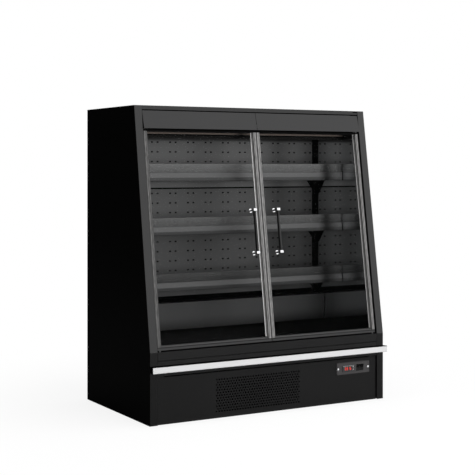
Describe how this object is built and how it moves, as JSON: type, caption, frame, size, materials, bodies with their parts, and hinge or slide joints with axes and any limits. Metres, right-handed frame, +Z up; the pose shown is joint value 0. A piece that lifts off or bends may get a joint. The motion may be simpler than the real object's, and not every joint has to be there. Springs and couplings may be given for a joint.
{
  "type": "refrigerated display case",
  "caption": "Floor-standing refrigerated display case with a leaning front, hinged glass doors, lit shelves, a perforated air duct and a condensing unit behind a grille.",
  "frame": {"origin": "on the floor, under the middle of the case's outline from above", "axes": "+X across the case to the right of someone facing it, +Y from the doors to the back, +Z up"},
  "size_m": [1.33, 0.771, 1.485],
  "materials": {
    "black_paint": "semi-gloss black powder coat",
    "interior_paint": "satin dark grey powder coat",
    "mirror": "silvered glass lining",
    "silver_frame": "satin anodised",
    "door_glass": "clear",
    "gasket": "matt black",
    "grip": "satin black",
    "chrome": "polished",
    "zinc": "bright zinc plate",
    "bumper": "light grey, satin",
    "black_plastic": "satin black",
    "grille_plastic": "brown grey, satin",
    "clear_plastic": "clear",
    "lamp": "white diffuser",
    "coil": "bare fins",
    "compressor_paint": "gloss black",
    "key_plastic": "gloss dark grey",
    "rocker_red": "translucent red"
  },
  "bodies": {
    "case": {"left_side_panel": "black_paint", "right_side_panel": "black_paint", "roof_panel": "black_paint", "fascia_left": "black_paint", "fascia_right": "black_paint", "front_sill": "black_paint", "kick_panel": "black_paint", "insulated_tub": "black_paint", "base_frame": "black_paint", "canopy_liner": "interior_paint", "duct_panel_upper": "interior_paint", "duct_panel_lower": "interior_paint", "shelf_uprights": "interior_paint", "top_shelf": "interior_paint", "middle_shelf": "interior_paint", "bottom_shelf": "interior_paint", "shelf_brackets": "interior_paint", "deck_tray": "interior_paint", "evaporator_cover": "interior_paint", "side_mirrors": "mirror", "rear_wall": "zinc", "levelling_feet": "zinc", "rear_service_panel": "zinc", "door_pivots": "zinc", "condenser_fan_shroud": "zinc", "evaporator_fan_plate": "zinc", "control_screws": "chrome", "bumper_rail": "bumper", "bumper_carrier": "black_plastic", "control_bezel": "black_plastic", "thermostat": "black_plastic", "power_inlet": "black_plastic", "price_rails": "black_plastic", "air_discharge_grille": "grille_plastic", "shelf_risers": "clear_plastic", "canopy_lamp": "lamp", "evaporator_coil": "coil", "condenser_coil": "coil", "compressor": "compressor_paint"},
    "left_door": {"left_door_glass": "door_glass", "left_door_stiles": "silver_frame", "left_door_rails": "silver_frame", "left_door_gasket": "gasket", "left_handle_bar": "grip", "left_handle_mounts": "chrome"},
    "right_door": {"right_door_glass": "door_glass", "right_door_stiles": "silver_frame", "right_door_rails": "silver_frame", "right_door_gasket": "gasket", "right_handle_bar": "grip", "right_handle_mounts": "chrome"},
    "condenser_fan": {"condenser_fan": "black_plastic"},
    "evaporator_fan_left": {"evaporator_fan_left": "black_plastic"},
    "evaporator_fan_right": {"evaporator_fan_right": "black_plastic"},
    "button_upper_left": {"button_upper_left": "key_plastic"},
    "button_lower_left": {"button_lower_left": "key_plastic"},
    "button_upper_right": {"button_upper_right": "key_plastic"},
    "button_lower_right": {"button_lower_right": "key_plastic"},
    "rocker_lights": {"rocker_lights": "key_plastic"},
    "rocker_power": {"rocker_power": "rocker_red"}
  },
  "joints": [
    {"name": "left_door_hinge", "type": "hinge", "parent": "case", "child": "left_door", "pos_m": [-0.607, -0.3337, 0.33432], "axis": [0, 0.149, 0.9888], "range_deg": [-95, 0]},
    {"name": "right_door_hinge", "type": "hinge", "parent": "case", "child": "right_door", "pos_m": [0.607, -0.3337, 0.33432], "axis": [0, 0.149, 0.9888], "range_deg": [0, 95]},
    {"name": "condenser_fan_spin", "type": "hinge", "parent": "case", "child": "condenser_fan", "pos_m": [-0.0785, -0.274, 0.112], "axis": [0, 1, 0], "continuous": true},
    {"name": "evaporator_fan_left_spin", "type": "hinge", "parent": "case", "child": "evaporator_fan_left", "pos_m": [-0.3, -0.1295, 0.31225], "axis": [0, 1, 0], "continuous": true},
    {"name": "evaporator_fan_right_spin", "type": "hinge", "parent": "case", "child": "evaporator_fan_right", "pos_m": [0.3, -0.1295, 0.31225], "axis": [0, 1, 0], "continuous": true},
    {"name": "button_upper_left_press", "type": "slide", "parent": "case", "child": "button_upper_left", "axis": [0, 1, 0], "range_m": [0, 0.0008], "stiffness_N_per_m": 900},
    {"name": "button_lower_left_press", "type": "slide", "parent": "case", "child": "button_lower_left", "axis": [0, 1, 0], "range_m": [0, 0.0008], "stiffness_N_per_m": 900},
    {"name": "button_upper_right_press", "type": "slide", "parent": "case", "child": "button_upper_right", "axis": [0, 1, 0], "range_m": [0, 0.0008], "stiffness_N_per_m": 900},
    {"name": "button_lower_right_press", "type": "slide", "parent": "case", "child": "button_lower_right", "axis": [0, 1, 0], "range_m": [0, 0.0008], "stiffness_N_per_m": 900},
    {"name": "rocker_lights_tip", "type": "hinge", "parent": "case", "child": "rocker_lights", "pos_m": [0.509, -0.3435, 0.1725], "axis": [1, 0, 0], "range_deg": [-14, 0]},
    {"name": "rocker_power_tip", "type": "hinge", "parent": "case", "child": "rocker_power", "pos_m": [0.5314, -0.3435, 0.1725], "axis": [1, 0, 0], "range_deg": [-14, 0]}
  ]
}
